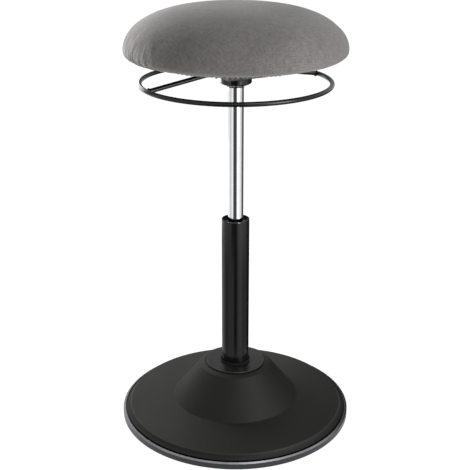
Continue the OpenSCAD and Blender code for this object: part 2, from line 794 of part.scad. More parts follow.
hub_curve_steps = 10;
module hub_cover() {
    neck_r = hub_neck_d / 2;
    cup_r = hub_cup_d / 2;
    curve_pull = 8;
    curve_lift = 4.4;
    corner_lift = 4.8;
    in_r = cup_r - hub_wall;
    color(black) difference() {
        rotate_extrude() polygon(concat(
            [[0, hub_z], [neck_r, hub_z]],
            bezier([[neck_r, cup_z], [neck_r + curve_pull, cup_z + curve_lift],
                    [cup_r, cup_z + corner_lift], [cup_r, cup_z + hub_flare_h]], hub_curve_steps),
            [[cup_r, web_z], [0, web_z]]
        ));
        translate([0, 0, hub_z - over]) cylinder(h = hub_h + 2 * over, r = chrome_r + 2 * run_fit);
        rotate_extrude() polygon([
            [0, cup_z + hub_floor], [socket_d / 2 + socket_foot, cup_z + hub_floor],
            [in_r, cup_z + hub_flare_h], [in_r, web_z + over], [0, web_z + over]
        ]);
    }
}

module lever_bracket() {
    inner_w = bracket_w - 2 * bracket_t;
    length = bracket_short + bracket_long;
    color(black) difference() {
        translate([-bracket_short, -bracket_w / 2, web_z]) cube([length, bracket_w, bracket_h]);
        translate([-bracket_short - over, -inner_w / 2, web_z + bracket_t])
            cube([length + 2 * over, inner_w, bracket_h]);
        translate([0, 0, web_z - over]) cylinder(h = bracket_t + 2 * over, d = socket_d + 2 * run_fit);
        translate([pivot_x, 0, pivot_z]) rotate([90, 0, 0])
            cylinder(h = bracket_w + 2 * over, d = pin_d + 2 * run_fit, center = true);
    }
}

corner_steps = 6;
function rounded_square(w, r) = [
    for (q = [0:3], i = [0:corner_steps]) let(a = 90 * (q + i / corner_steps), c = w / 2 - r,
        sx = q == 0 || q == 3 ? 1 : -1, sy = q < 2 ? 1 : -1)
        [sx * c + r * cos(a), sy * c + r * sin(a)]
];
module seat_plate() {
    color(black) difference() {
        translate([0, 0, plate_z]) linear_extrude(plate_t) polygon(rounded_square(plate_w, plate_corner_r));
        square_pattern(bolt_pitch) translate([0, 0, plate_z - over])
            cylinder(h = plate_t + 2 * over, d = m8_d + 2 * bolt_fit);
    }
}

module plate_bolts() {
    color(zinc) square_pattern(bolt_pitch) {
        translate([0, 0, plate_z - hex8_h]) cylinder(h = hex8_h, d = hex8_d, $fn = 6);
        translate([0, 0, plate_z - hex8_h])
            cylinder(h = hex8_h + plate_t + pan_t - stop_play, d = m8_d);
    }
}

tee_barrel_r = m8_d / 2 + run_fit + tee_wall;
tee_len = 8;
module tee_nuts() {
    color(zinc) square_pattern(bolt_pitch) translate([0, 0, pan_top_z]) difference() {
        union() {
            translate([0, 0, -tee_flange_t]) cylinder(h = tee_flange_t, d = tee_flange_d);
            translate([0, 0, -tee_len]) cylinder(h = tee_len, r = tee_barrel_r);
        }
        translate([0, 0, -tee_len - over]) cylinder(h = tee_len + 2 * over, d = m8_d + 2 * run_fit);
    }
}

module seat_pan() {
    flat_r = hem_r + hem_cord_d;
    edge = 2;
    color(black) difference() {
        rotate_extrude() polygon([
            [0, pan_z], [flat_r, pan_z], [pan_r - edge, pan_z + pan_flare],
            [pan_r, pan_z + pan_flare + edge], [pan_r, pan_top_z + pan_rim_h],
            [pan_r - pan_rim_w, pan_top_z + pan_rim_h], [pan_r - pan_rim_w - edge, pan_top_z],
            [0, pan_top_z]
        ]);
        square_pattern(bolt_pitch) {
            translate([0, 0, pan_z - over]) cylinder(h = pan_t + 2 * over, r = tee_barrel_r + run_fit);
            translate([0, 0, pan_top_z - tee_flange_t])
                cylinder(h = tee_flange_t + over, d = tee_flange_d + 2 * run_fit);
        }
    }
}

module seat_cushion() {
    depth = cover_t + soft_gap;
    edge = 2;
    wrap_r = pan_r + soft_gap;
    outer = [for (p = seat_points(depth)) if (p.x > wrap_r || p.y > seat_mid_z) p];
    color(foam_cream) rotate_extrude() polygon(concat(
        [[0, pan_top_z + soft_gap], [pan_r - pan_rim_w - edge - soft_gap, pan_top_z + soft_gap],
         [pan_r - pan_rim_w - soft_gap, pan_top_z + pan_rim_h + soft_gap],
         [wrap_r, pan_top_z + pan_rim_h + soft_gap], [wrap_r, under_z(wrap_r, depth)]],
        outer
    ));
}

module seat_cover() {
    color(fabric_grey) rotate_extrude() polygon(concat(seat_points(0), reversed(seat_points(cover_t))));
}

module hem_cord() {
    color(black) rotate_extrude()
        translate([hem_r - hem_cord_d / 2 - soft_gap, hem_z + cover_t - hem_cord_d / 2]) circle(d = hem_cord_d, $fn = 24);
}

// Ring handle

ring_r = ring_d / 2;
rod_r = rod_d / 2;
arm_angle = atan2(arm_rise, ring_r - arm_in_left);
module ring_handle() {
    color(black) rotate_extrude() translate([ring_r, ring_z]) circle(r = rod_r, $fn = 32);
}

// An arm along +X, coped to the ring
module arm(inner) {
    start_z = ring_z + (ring_r - inner) * tan(arm_angle);
    length = (ring_r - inner) / cos(arm_angle);
    difference() {
        translate([inner, 0, start_z]) rotate([0, 90 + arm_angle, 0]) cylinder(h = length, r = rod_r);
        rotate_extrude() translate([ring_r, ring_z]) circle(r = rod_r + run_fit, $fn = 32);
    }
}

module arm_left() {
    color(black) mirror([1, 0, 0]) arm(arm_in_left);
}

module arm_right() {
    color(black) arm(arm_in_right);
}

module rocker() {
    gap = rod_r + run_fit;
    width = gap + rocker_t;
    cheek_z = rocker_top_z - rocker_cheek_h;
    slope = 4;
    left_in = -arm_in_left + slope;
    right_in = pivot_x - pin_d;
    left_out = -arm_in_left - rocker_grip;
    right_out = arm_in_right + rocker_grip;
    color(black) difference() {
        union() {
            for (side = [-1, 1]) translate([0, side * (gap + rocker_t / 2) + rocker_t / 2, 0])
                rotate([90, 0, 0]) linear_extrude(rocker_t) polygon([
                    [left_out, cheek_z + slope], [left_out + slope, cheek_z], [left_in, cheek_z],
                    [left_in + slope, rocker_under_z], [right_in - slope, rocker_under_z],
                    [right_in, cheek_z], [right_out - slope, cheek_z], [right_out, cheek_z + slope],
                    [right_out, rocker_top_z], [left_out, rocker_top_z]
                ]);
            translate([left_out, -width, rocker_under_z])
                cube([right_out - left_out, 2 * width, rocker_t]);
        }
        translate([pivot_x, 0, pivot_z]) rotate([90, 0, 0])
            cylinder(h = 2 * width + 2 * over, d = pin_d + 2 * run_fit, center = true);
    }
}

pin_head_t = 2;
pin_head_d = 10;
pin_tail = 4;
pin_groove = 1;
module pivot_pin() {
    tail_y = bracket_w / 2 + pin_tail;
    color(zinc) translate([pivot_x, 0, pivot_z]) rotate([90, 0, 0]) {
        translate([0, 0, -tail_y]) cylinder(h = tail_y + bracket_w / 2 + pin_head_t, d = pin_d);
        translate([0, 0, bracket_w / 2]) cylinder(h = pin_head_t, d = pin_head_d);
    }
}

module pin_clip() {
    color(steel) translate([pivot_x, bracket_w / 2 + pin_groove / 2, pivot_z]) rotate([-90, 0, 0])
        ring_solid(pin_d / 2 + run_fit, pin_head_d / 2, 0, pin_groove);
}

module pin_spacers() {
    inner_y = rod_r + run_fit + rocker_t + touch_gap;
    outer_y = bracket_w / 2 - bracket_t;
    color(zinc) for (side = [-1, 1]) translate([pivot_x, side * (inner_y + outer_y) / 2, pivot_z])
        rotate([90, 0, 0]) ring_solid(pin_d / 2 + run_fit, pin_head_d / 2, -(outer_y - inner_y) / 2,
                                      outer_y - inner_y);
}

foot_ring();
trim_ring();
base_plate();
base_cover();
cover_screws();
ball_seat();
ball_seat_bolts();
stop_ring();
buffer_feet();
swing_buffers();
pivot_ball();
buffer_caps();
buffer_nuts();
swing_plate();
column_socket();
standpipe();
guide_bush();
tube_floor();
lower_washer();
piston_rod();
piston();
upper_washer();
bearing_balls();
rod_clip();
bumper();
chrome_tube();
rod_guide();
pressure_tube();
valve_block();
valve_spring();
valve_pin();
taper_socket();
hub_cover();
lever_bracket();
seat_plate();
plate_bolts();
tee_nuts();
seat_pan();
seat_cushion();
seat_cover();
hem_cord();
ring_handle();
arm_left();
arm_right();
rocker();
pivot_pin();
pin_spacers();
pin_clip();
slip_ring();
cover_disc();
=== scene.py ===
import math

import bpy
from mathutils import Matrix, Vector, noise


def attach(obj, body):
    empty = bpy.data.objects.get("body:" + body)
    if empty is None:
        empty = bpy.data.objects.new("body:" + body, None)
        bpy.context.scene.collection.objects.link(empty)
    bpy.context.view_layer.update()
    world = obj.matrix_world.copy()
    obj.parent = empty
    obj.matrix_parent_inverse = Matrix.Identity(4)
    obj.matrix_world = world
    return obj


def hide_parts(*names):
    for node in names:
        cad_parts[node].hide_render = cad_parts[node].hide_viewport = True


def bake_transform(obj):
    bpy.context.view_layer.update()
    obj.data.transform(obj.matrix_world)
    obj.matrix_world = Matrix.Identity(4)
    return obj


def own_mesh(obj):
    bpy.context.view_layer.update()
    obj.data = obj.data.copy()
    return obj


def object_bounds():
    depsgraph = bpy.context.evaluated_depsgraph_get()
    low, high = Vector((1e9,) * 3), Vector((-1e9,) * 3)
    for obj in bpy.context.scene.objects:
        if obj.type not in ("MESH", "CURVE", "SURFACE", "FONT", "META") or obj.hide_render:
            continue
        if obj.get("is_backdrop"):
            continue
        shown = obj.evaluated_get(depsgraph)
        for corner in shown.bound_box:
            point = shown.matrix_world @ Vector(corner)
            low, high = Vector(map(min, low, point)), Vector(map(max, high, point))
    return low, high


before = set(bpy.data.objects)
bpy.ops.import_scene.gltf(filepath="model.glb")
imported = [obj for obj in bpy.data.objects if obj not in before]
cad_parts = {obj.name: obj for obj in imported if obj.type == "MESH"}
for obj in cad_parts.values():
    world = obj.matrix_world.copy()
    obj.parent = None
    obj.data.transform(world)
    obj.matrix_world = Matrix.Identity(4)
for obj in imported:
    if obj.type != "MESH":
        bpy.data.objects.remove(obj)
cad_low, cad_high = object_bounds()

# Camera.
# It looks down on the stool by 21 degrees from 1.68 m away, with the crossbar of the ring
# handle running from front left to back right.
camera = bpy.data.objects.new("camera", bpy.data.cameras.new("camera"))
bpy.context.scene.collection.objects.link(camera)
bpy.context.scene.camera = camera
camera.data.sensor_width = 36
camera.data.lens = 76.04
photo_width_px = 470
camera.data.shift_x = -0.5 / photo_width_px
camera.location = (-0.7862, -1.4847, 0.9945)
camera.rotation_euler = (
    Matrix.Rotation(math.radians(-27.9), 3, "Z")
    @ Matrix.Rotation(math.radians(69.15), 3, "X")
    @ Matrix.Rotation(math.radians(0.12), 3, "Z")
).to_euler()

# Studio: pale floor, white surroundings, soft lamps and cards.
# The floor and the world show as white to the camera and in the metal, and the floor keeps
# part of its shadow. The cards are what chrome needs beside it to show its round form.
bpy.context.scene.view_settings.view_transform = "Standard"


def seen_white(tree):
    """1 for a ray from the camera or a mirror, 0 for a ray that carries plain light."""
    path = tree.nodes.new("ShaderNodeLightPath")
    total = path.outputs["Is Camera Ray"]
    for name in ("Is Glossy Ray", "Is Transmission Ray"):
        either = tree.nodes.new("ShaderNodeMath")
        either.operation = "MAXIMUM"
        tree.links.new(total, either.inputs[0])
        tree.links.new(path.outputs[name], either.inputs[1])
        total = either.outputs[0]
    return total


bpy.ops.mesh.primitive_plane_add(size=14, location=(0, 0, 0))
floor = bpy.context.object
floor.name = "studio_floor"
floor_finish = bpy.data.materials.new("studio_floor")
floor_finish.use_nodes = True
tree = floor_finish.node_tree
tree.nodes["Principled BSDF"].inputs["Base Color"].default_value = (0.55, 0.55, 0.55, 1)
tree.nodes["Principled BSDF"].inputs["Roughness"].default_value = 0.9
tree.nodes["Principled BSDF"].inputs["Specular IOR Level"].default_value = 0
plain_white = tree.nodes.new("ShaderNodeEmission")
plain_white.inputs["Strength"].default_value = 1.14
paler = tree.nodes.new("ShaderNodeMath")
paler.operation = "MULTIPLY"
paler.inputs[1].default_value = 0.88
tree.links.new(seen_white(tree), paler.inputs[0])
blend = tree.nodes.new("ShaderNodeMixShader")
tree.links.new(paler.outputs[0], blend.inputs[0])
tree.links.new(tree.nodes["Principled BSDF"].outputs[0], blend.inputs[1])
tree.links.new(plain_white.outputs[0], blend.inputs[2])
tree.links.new(blend.outputs[0], tree.nodes["Material Output"].inputs["Surface"])
floor.data.materials.append(floor_finish)
floor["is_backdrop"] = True

world = bpy.data.worlds.new("studio")
bpy.context.scene.world = world
world.use_nodes = True
tree = world.node_tree
around = tree.nodes["Background"]
around.inputs["Color"].default_value = (1, 1, 1, 1)
level = tree.nodes.new("ShaderNodeMapRange")
level.inputs["To Min"].default_value = 0.26
level.inputs["To Max"].default_value = 1.0
tree.links.new(seen_white(tree), level.inputs["Value"])
tree.links.new(level.outputs["Result"], around.inputs["Strength"])

# Only the right lamp is mirrored. On the left the cards are, so that the steel trim shows grey
# there as in the photograph and not white.
for name, azimuth, height, away, width, power, mirrored in (
    ("lamp_right", 294, 0.95, 2.2, 1.2, 38, True),
    ("lamp_left", 114, 0.82, 2.0, 0.9, 76, False),
    ("lamp_side", 152, 0.62, 1.5, 0.6, 5, False),
):
    lamp = bpy.data.objects.new(name, bpy.data.lights.new(name, "AREA"))
    bpy.context.scene.collection.objects.link(lamp)
    lamp.data.shape = "DISK"
    lamp.data.size = width
    lamp.data.energy = power
    turn = math.radians(azimuth)
    lamp.location = (away * math.cos(turn), away * math.sin(turn), height)
    lamp.rotation_euler = (Vector((0, 0, 0.5)) - lamp.location).to_track_quat("-Z", "Y").to_euler()
    lamp.visible_glossy = mirrored

# Each card fills a range of compass angles at its own brightness: upright ones for the chrome
# to mirror, low ones on the floor for the black tube, high ones and a beam for the ring handle,
# a spot for the hub cover and one overhead for the disc.
reaches = {
    "upright": ((0.9, 0), (0.9, 0.5)), "low": ((0.26, 0.001), (1.1, 0.001)),
    "high": ((0.9, 0.5), (0.9, 1.1)), "spot": ((0.84, 0.3), (0.84, 0.46)),
    "beam": ((0.76, 0.46), (0.76, 0.9)), "over": ((0.45, 1.0), (0.9, 1.0)),
}
for place, sectors in (
    ("upright", ((142, 180, 0.76), (208, 252, 0.066), (252, 262, 0.5), (262, 300, 1.3),
                 (300, 332, 0.92), (332, 350, 0.34), (350, 404, 0.065))),
    ("low", ((44, 98, 0.03), (98, 142, 0.6), (142, 180, 0.3), (180, 208, 0.55), (208, 232, 0.6),
             (232, 252, 0.04), (252, 262, 0.35), (262, 300, 0.85), (300, 332, 0.4),
             (332, 350, 0.3), (350, 404, 0.02))),
    ("high", ((30, 52, 0.5), (52, 71, 0.35), (71, 84, 0.12), (84, 142, 0.05))),
    ("spot", ((272, 284, 5),)),
    ("beam", ((84, 122, 4),)),
    ("over", ((254, 286, 5),)),
):
    for first, last, level in sectors:
        bpy.ops.mesh.primitive_plane_add(size=1)
        card = bpy.context.object
        card.name = f"card_{place}_{first}"
        for v in card.data.vertices:
            turn = math.radians(last if v.co.x > 0 else first)
            r, z = reaches[place][v.co.y > 0]
            v.co = (r * math.cos(turn), r * math.sin(turn), z)
        paint = bpy.data.materials.new(card.name)
        paint.use_nodes = True
        paint.node_tree.nodes.clear()
        glow = paint.node_tree.nodes.new("ShaderNodeEmission")
        glow.inputs["Strength"].default_value = level
        sheet = paint.node_tree.nodes.new("ShaderNodeOutputMaterial")
        paint.node_tree.links.new(glow.outputs[0], sheet.inputs["Surface"])
        card.data.materials.append(paint)
        card.visible_camera = card.visible_diffuse = card.visible_shadow = False
        card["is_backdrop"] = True

# Foot ring: the dark band that stands on the floor.
# Hard rubber, moulded in one piece and pressed round the edge of the ballast plate. It has a
# satin skin from the mould, a little bluish beside the black of the cover.
speckle = bpy.data.node_groups.new("fine_speckle", "ShaderNodeTree")
speckle.interface.new_socket("Place", in_out="INPUT", socket_type="NodeSocketVector")
for name, value in (("Grain Scale", 1500.0), ("Patch Scale", 30.0)):
    socket = speckle.interface.new_socket(name, in_out="INPUT", socket_type="NodeSocketFloat")
    socket.default_value = value
for name in ("Grain", "Patches", "Tone"):
    speckle.interface.new_socket(name, in_out="OUTPUT", socket_type="NodeSocketFloat")
into = speckle.nodes.new("NodeGroupInput")
out = speckle.nodes.new("NodeGroupOutput")
clouds = {}
for name, detail, wanted in (("Grain Scale", 3, "Grain"), ("Patch Scale", 4, "Patches")):
    cloud = speckle.nodes.new("ShaderNodeTexNoise")
    cloud.inputs["Detail"].default_value = detail
    speckle.links.new(into.outputs["Place"], cloud.inputs["Vector"])
    speckle.links.new(into.outputs[name], cloud.inputs["Scale"])
    sharper = speckle.nodes.new("ShaderNodeMapRange")
    sharper.inputs["From Min"].default_value = 0.3
    sharper.inputs["From Max"].default_value = 0.7
    speckle.links.new(cloud.outputs["Fac"], sharper.inputs["Value"])
    speckle.links.new(sharper.outputs["Result"], out.inputs[wanted])
    clouds[wanted] = sharper.outputs["Result"]
both = speckle.nodes.new("ShaderNodeMath")
both.operation = "MULTIPLY_ADD"
both.inputs[1].default_value = 0.35
part = speckle.nodes.new("ShaderNodeMath")
part.operation = "MULTIPLY"
part.inputs[1].default_value = 0.65
speckle.links.new(clouds["Patches"], part.inputs[0])
speckle.links.new(clouds["Grain"], both.inputs[0])
speckle.links.new(part.outputs[0], both.inputs[2])
speckle.links.new(both.outputs[0], out.inputs["Tone"])


def finish(name, dark, light, rough, grain, patch, relief, metal=0.0, **sockets):
    """A surface whose tone, gloss and relief follow the grain of how it was made."""
    material = bpy.data.materials.new(name)
    material.use_nodes = True
    tree = material.node_tree
    shader = tree.nodes["Principled BSDF"]
    shader.inputs["Metallic"].default_value = metal
    for socket, value in sockets.items():
        shader.inputs[socket.replace("_", " ")].default_value = value
    place = tree.nodes.new("ShaderNodeTexCoord")
    grains = tree.nodes.new("ShaderNodeGroup")
    grains.node_tree = speckle
    grains.inputs["Grain Scale"].default_value = grain
    grains.inputs["Patch Scale"].default_value = patch
    tree.links.new(place.outputs["Object"], grains.inputs["Place"])
    tone = tree.nodes.new("ShaderNodeMix")
    tone.data_type = "RGBA"
    tone.inputs["A"].default_value = (*dark, 1)
    tone.inputs["B"].default_value = (*light, 1)
    tree.links.new(grains.outputs["Tone"], tone.inputs["Factor"])
    tree.links.new(tone.outputs["Result"], shader.inputs["Base Color"])
    gloss = tree.nodes.new("ShaderNodeMapRange")
    gloss.inputs["To Min"].default_value = rough[0]
    gloss.inputs["To Max"].default_value = rough[1]
    tree.links.new(grains.outputs["Patches"], gloss.inputs["Value"])
    tree.links.new(gloss.outputs["Result"], shader.inputs["Roughness"])
    raised = tree.nodes.new("ShaderNodeBump")
    raised.inputs["Strength"].default_value = relief[0]
    raised.inputs["Distance"].default_value = relief[1]
    tree.links.new(grains.outputs["Grain"], raised.inputs["Height"])
    tree.links.new(raised.outputs["Normal"], shader.inputs["Normal"])
    return material


def give(material, *nodes):
    """Puts a finish on carried-over parts of the frame."""
    for node in nodes:
        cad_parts[node].material_slots[0].material = material


foot_rubber = finish(
    "foot_rubber", (0.014, 0.014, 0.0165), (0.022, 0.022, 0.026), (0.34, 0.46),
    grain=900, patch=24, relief=(0.12, 0.0002), Specular_IOR_Level=0.45,
)
give(foot_rubber, "foot_ring")

# Trim ring: the thin bright line round the base.
# Bright rolled steel with a chamfered edge, turned on a lathe so that its marks run round it,
# and trapped between the rubber and the ballast plate.
bright_trim = finish(
    "bright_trim", (0.18, 0.185, 0.195), (0.26, 0.265, 0.275), (0.3, 0.36),
    grain=700, patch=40, relief=(0.05, 0.0001), metal=1.0,
)


def ringed(material, middle, half, edge, colour, rough=None):
    """Paints a ring of a finish, round the column's axis, in another colour and gloss, for painted
    highlights and painted shade.
    """
    tree = material.node_tree
    place = tree.nodes.new("ShaderNodeTexCoord")
    level = tree.nodes.new("ShaderNodeVectorMath")
    level.operation = "MULTIPLY"
    level.inputs[1].default_value = (1, 1, 0)
    tree.links.new(place.outputs["Object"], level.inputs[0])
    radius = tree.nodes.new("ShaderNodeVectorMath")
    radius.operation = "LENGTH"
    tree.links.new(level.outputs["Vector"], radius.inputs[0])
    off = tree.nodes.new("ShaderNodeMath")
    off.operation = "SUBTRACT"
    off.inputs[1].default_value = middle
    tree.links.new(radius.outputs["Value"], off.inputs[0])
    apart = tree.nodes.new("ShaderNodeMath")
    apart.operation = "ABSOLUTE"
    tree.links.new(off.outputs[0], apart.inputs[0])
    beyond = tree.nodes.new("ShaderNodeMapRange")
    beyond.inputs["From Min"].default_value = half
    beyond.inputs["From Max"].default_value = half + edge
    tree.links.new(apart.outputs[0], beyond.inputs["Value"])
    shade = tree.nodes.new("ShaderNodeMix")
    shade.data_type = "RGBA"
    shade.inputs["A"].default_value = (*colour, 1)
    tree.links.new(beyond.outputs["Result"], shade.inputs["Factor"])
    base = tree.nodes["Principled BSDF"].inputs["Base Color"]
    tree.links.new(base.links[0].from_socket, shade.inputs["B"])
    tree.links.new(shade.outputs["Result"], base)
    if rough is not None:
        dull = tree.nodes.new("ShaderNodeMix")
        dull.inputs["A"].default_value = rough
        tree.links.new(beyond.outputs["Result"], dull.inputs["Factor"])
        gloss = tree.nodes["Principled BSDF"].inputs["Roughness"]
        tree.links.new(gloss.links[0].from_socket, dull.inputs["B"])
        tree.links.new(dull.outputs["Result"], gloss)


# Inside the groove and under the cover's edge the steel is painted near black: painted shade in
# the recess.
ringed(bright_trim, 0, 0.2102, 0.0003, (0.012, 0.012, 0.013))
give(bright_trim, "trim_ring")

# Ballast plate and the screws that hold the cover to it.
# A 9.6 mm steel disc, black from its coating, counterbored for six zinc-plated screws.
ballast = finish(
    "ballast", (0.012, 0.012, 0.013), (0.024, 0.024, 0.026), (0.45, 0.65),
    grain=500, patch=18, relief=(0.2, 0.0003),
)
give(ballast, "base_plate")
zinc = finish(
    "zinc", (0.42, 0.41, 0.36), (0.6, 0.6, 0.56), (0.25, 0.45),
    grain=600, patch=120, relief=(0.08, 0.0001), metal=1.0,
)
give(zinc, "cover_screws")

# Bell cover over the base.
# Black plastic, moulded in one piece from the rim up to the bell, with the fine matt grain
# that hides scratches. It is the largest dark surface of the stool.
cover_plastic = finish(
    "cover_plastic", (0.0085, 0.0082, 0.0076), (0.0125, 0.012, 0.0112), (0.5, 0.6),
    grain=1600, patch=9, relief=(0.16, 0.00025), Specular_IOR_Level=0.17,
)
# A lighter ring is painted along the ridge at the top of the cover's side: a painted highlight on
# its rounded edge.
ringed(cover_plastic, 0.1992, 0.0004, 0.0012, (0.026, 0.026, 0.025))
give(cover_plastic, "base_cover")

# Loose disc and its slip ring on the bell's mouth.
# The disc closes the mouth and slides on a nylon ring as the column leans. It is smoother
# than the cover, and a lighter ring painted round its edge is a painted highlight there.
disc_plastic = finish(
    "disc_plastic", (0.006, 0.006, 0.0065), (0.01, 0.01, 0.0105), (0.24, 0.32),
    grain=1400, patch=30, relief=(0.06, 0.0002), Specular_IOR_Level=0.3,
)
# Round the foot of the tube the collar is painted near black, as painted shade where tube and disc
# meet, and made rough so that it shows no highlight.
ringed(disc_plastic, 0, 0.0272, 0.001, (0.0015, 0.0015, 0.0015), rough=0.9)
# A lighter ring is painted round the disc's edge: a painted highlight.
ringed(disc_plastic, 0.0539, 0.0004, 0.001, (0.03, 0.03, 0.03))
give(disc_plastic, "cover_disc")
white_nylon = finish(
    "white_nylon", (0.62, 0.6, 0.54), (0.74, 0.72, 0.66), (0.35, 0.5),
    grain=800, patch=60, relief=(0.1, 0.0002),
)
give(white_nylon, "slip_ring")

# Swing joint inside the bell.
# The column stands on a ball between two machined seats, and four rubber buffers between the
# steel plates bring it back upright. A rubber ring stops the lean.
machined_steel = finish(
    "machined_steel", (0.4, 0.41, 0.42), (0.56, 0.57, 0.58), (0.22, 0.4),
    grain=900, patch=90, relief=(0.12, 0.0001), metal=1.0,
)
give(machined_steel, "ball_seat")
hard_chrome = finish(
    "hard_chrome", (0.74, 0.75, 0.77), (0.82, 0.83, 0.85), (0.03, 0.07),
    grain=1200, patch=60, relief=(0.015, 0.0001), metal=1.0,
)
give(hard_chrome, "pivot_ball")
soft_rubber = finish(
    "soft_rubber", (0.014, 0.014, 0.014), (0.026, 0.026, 0.025), (0.6, 0.8),
    grain=700, patch=70, relief=(0.2, 0.0003),
)
give(soft_rubber, "stop_ring")


def copied(node, name):
    """A merged copy of a carried-over part, as a piece of its own."""
    bpy.ops.object.select_all(action="DESELECT")
    piece = bpy.data.objects.new(name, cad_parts[node].data.copy())
    bpy.context.scene.collection.objects.link(piece)
    piece.select_set(True)
    bpy.context.view_layer.objects.active = piece
    bpy.ops.object.mode_set(mode="EDIT")
    bpy.ops.mesh.select_all(action="SELECT")
    bpy.ops.mesh.remove_doubles(threshold=0.000001)
    bpy.ops.object.mode_set(mode="OBJECT")
    return piece


# Each buffer is cut into two halves at its middle height; the rubber bends about the two axes of
# the ball.
buffer_low_z, buffer_middle_z, buffer_high_z = 0.0146, 0.0238, 0.033
for name, bodies, low_z, high_z in (
    ("buffer_rubber_lower", ("base", "ball"), buffer_low_z, buffer_middle_z),
    ("buffer_rubber_upper", ("ball", "column"), buffer_middle_z, buffer_high_z),
):
    rubber = copied("swing_buffers", name)
    bpy.ops.object.mode_set(mode="EDIT")
    bpy.ops.mesh.select_all(action="SELECT")
    lower = bodies[0] == "base"
    bpy.ops.mesh.bisect(
        plane_co=(0, 0, buffer_middle_z), plane_no=(0, 0, 1), use_fill=True,
        clear_outer=lower, clear_inner=not lower,
    )
    bpy.ops.object.mode_set(mode="OBJECT")
    rubber.material_slots[0].material = soft_rubber
    if lower:
        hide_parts("swing_buffers")
    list(bodies)
    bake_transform(rubber)

black_steel = finish(
    "black_steel", (0.009, 0.009, 0.01), (0.02, 0.02, 0.021), (0.38, 0.55),
    grain=650, patch=45, relief=(0.18, 0.0003),
)
give(black_steel, "swing_plate", "column_socket")
give(zinc, "ball_seat_bolts", "buffer_feet", "buffer_caps", "buffer_nuts")

# Standpipe, with the guide bush in its open top and the thrust bearing on its floor.
# Black powder-coated steel tube, 50 mm across. The coating flows into a faint orange-peel skin
# and keeps a soft shine. The plastic bush guides the gas lift, which turns on the bearing.
column_coat = finish(
    "column_coat", (0.003, 0.003, 0.0033), (0.0052, 0.0052, 0.0056), (0.15, 0.21),
    grain=420, patch=16, relief=(0.04, 0.0002), Specular_IOR_Level=0.4,
)
give(column_coat, "standpipe")
black_plastic = finish(
    "black_plastic", (0.02, 0.02, 0.021), (0.034, 0.034, 0.035), (0.4, 0.5),
    grain=1100, patch=60, relief=(0.1, 0.0002),
)
give(black_plastic, "guide_bush")
give(machined_steel, "tube_floor", "lower_washer", "upper_washer", "bearing_balls")
give(soft_rubber, "bumper")

# Gas lift.
# A hard chromed tube, ground and polished, slides in the bush on its rod and is taper-fitted
# in the hub above. Its working parts are inside, and the valve's spring shortens when pressed.
give(hard_chrome, "chrome_tube", "piston_rod")
give(machined_steel, "rod_clip", "pressure_tube", "valve_block", "valve_pin")
give(soft_rubber, "piston")
give(white_nylon, "rod_guide")
spring = copied("valve_spring", "release_spring")
spring.material_slots[0].material = machined_steel
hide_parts("valve_spring")
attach(spring, "seat")
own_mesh(spring)

# Hub cover, and the bracket that carries the handle's pivot.
# The hub cover is a glossy black moulded bowl pushed up against the folded steel bracket. The
# zinc-plated pin, its spacers and clip hold the rocker.
gloss_black = finish(
    "gloss_black", (0.003, 0.003, 0.0034), (0.005, 0.005, 0.0054), (0.06, 0.11),
    grain=900, patch=50, relief=(0.02, 0.0002),
)
give(gloss_black, "hub_cover")
give(black_steel, "lever_bracket", "taper_socket", "rocker")
give(zinc, "pivot_pin", "pin_spacers")
give(machined_steel, "pin_clip")

# Ring handle and its two arms.
# Solid 8 mm steel rod, bent and butt-welded to a ring, then coated black with the arms on it.
# A ripple of weld shows where each arm meets the ring.
ring_black = finish(
    "ring_black", (0.003, 0.003, 0.0032), (0.006, 0.006, 0.0064), (0.2, 0.26),
    grain=500, patch=35, relief=(0.015, 0.0002), Specular_IOR_Level=0.3,
)
give(ring_black, "ring_handle", "arm_left", "arm_right")
arm_rise, arm_reach = 0.0218, 0.1365
arm_slope = math.atan2(arm_rise, arm_reach)
ring_r, ring_z = 0.1645, 0.6343
weld_r, bead_r, weld_at, bead_rise, beads = 0.0044, 0.0012, 0.1610, 0.22, 12
for name, side in (("weld_left", -1), ("weld_right", 1)):
    bpy.ops.object.select_all(action="DESELECT")
    bpy.ops.mesh.primitive_torus_add(
        major_radius=weld_r, minor_radius=bead_r, major_segments=72, minor_segments=10
    )
    weld = bpy.context.object
    weld.name = name
    for v in weld.data.vertices:
        turn = math.atan2(v.co.y, v.co.x)
        middle = Vector((weld_r * math.cos(turn), weld_r * math.sin(turn), 0))
        v.co = middle + (v.co - middle) * (1 + bead_rise * math.cos(beads * turn))
    weld.data.transform(
        Matrix.Translation((side * weld_at, 0, ring_z + (ring_r - weld_at) * math.tan(arm_slope)))
        @ Matrix.Rotation(side * (math.pi / 2 + arm_slope), 4, "Y")
    )
    weld.data.shade_smooth()
    weld.data.materials.append(ring_black)
    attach(weld, "lever")

# Seat plate and pan.
# The black steel plate over the bracket carries the moulded pan by four zinc-plated bolts, which
# go into tee nuts in the pan. The foam lies on the pan.
give(black_steel, "seat_plate")
give(black_plastic, "seat_pan")
give(zinc, "plate_bolts", "tee_nuts")

# Seat: foam cushion in its grey woven cover.
# The cover is cut round, drawn over the foam and gathered under the pan by an elastic in its
# rolled hem, so it is smooth on top and falls into small folds towards the hem.
seat_r, seat_mid_z, crown_h = 0.1906, 0.6946, 0.0702
hem_r, under_h = 0.147, 0.0201
side_power, crown_power, under_side_power, under_power = 3.11, 1.82, 1.3, 3
segments, folds = 1080, 120


def crown_point(share, inset=0.0):
    """Radius and height on the domed upper half, from its widest round up to the middle."""
    a = share * math.pi / 2
    return (
        (seat_r - inset) * max(0.0, math.cos(a)) ** (2 / side_power),
        seat_mid_z + (crown_h - inset) * math.sin(a) ** (2 / crown_power),
    )


def under_point(share, inset=0.0):
    """Radius and height on the lower half, from the hem out to the widest round."""
    a = (1 - share) * math.pi / 2
    return (
        hem_r + (seat_r - inset - hem_r) * max(0.0, math.cos(a)) ** (2 / under_side_power),
        seat_mid_z - (under_h - inset) * math.sin(a) ** (2 / under_power),
    )


